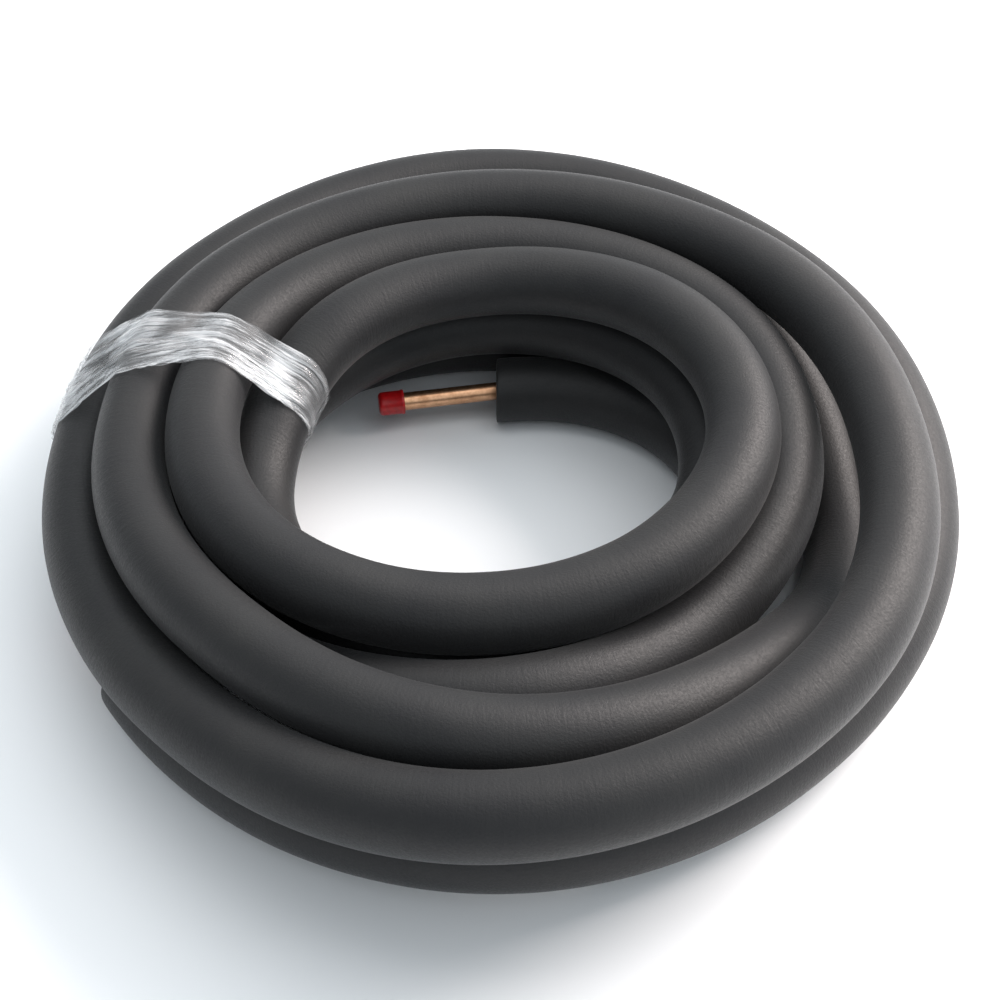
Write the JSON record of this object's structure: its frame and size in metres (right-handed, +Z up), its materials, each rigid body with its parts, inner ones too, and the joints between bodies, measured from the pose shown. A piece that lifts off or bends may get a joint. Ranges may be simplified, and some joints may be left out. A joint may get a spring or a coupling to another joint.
{
  "type": "mini split line set",
  "caption": "Flat coil of soft copper refrigerant lines in black foam insulation, held by a clear stretch film band, with red caps on the bare copper ends.",
  "frame": {"origin": "on the floor, under the middle of the coil's box", "axes": "+Z up out of the coil, -Y towards the front, the film band on the left at -X"},
  "size_m": [0.4448, 0.5022, 0.1081],
  "materials": {
    "foam": "matte closed-cell elastomeric foam with a smooth fine skin",
    "copper": "bright soft-drawn copper, slightly dulled",
    "cap_plastic": "moulded soft red plastic",
    "stretch_film": "clear wrinkled stretch film, glossy"
  },
  "bodies": {
    "root": {"suction_line_insulation": "foam", "liquid_line_insulation": "foam", "suction_line_copper": "copper", "liquid_line_copper": "copper", "suction_cap_in_eye": "cap_plastic", "suction_cap_under_coil": "cap_plastic", "liquid_cap_under_coil": "cap_plastic", "liquid_cap_by_band": "cap_plastic", "stretch_film_band": "stretch_film"}
  },
  "joints": []
}
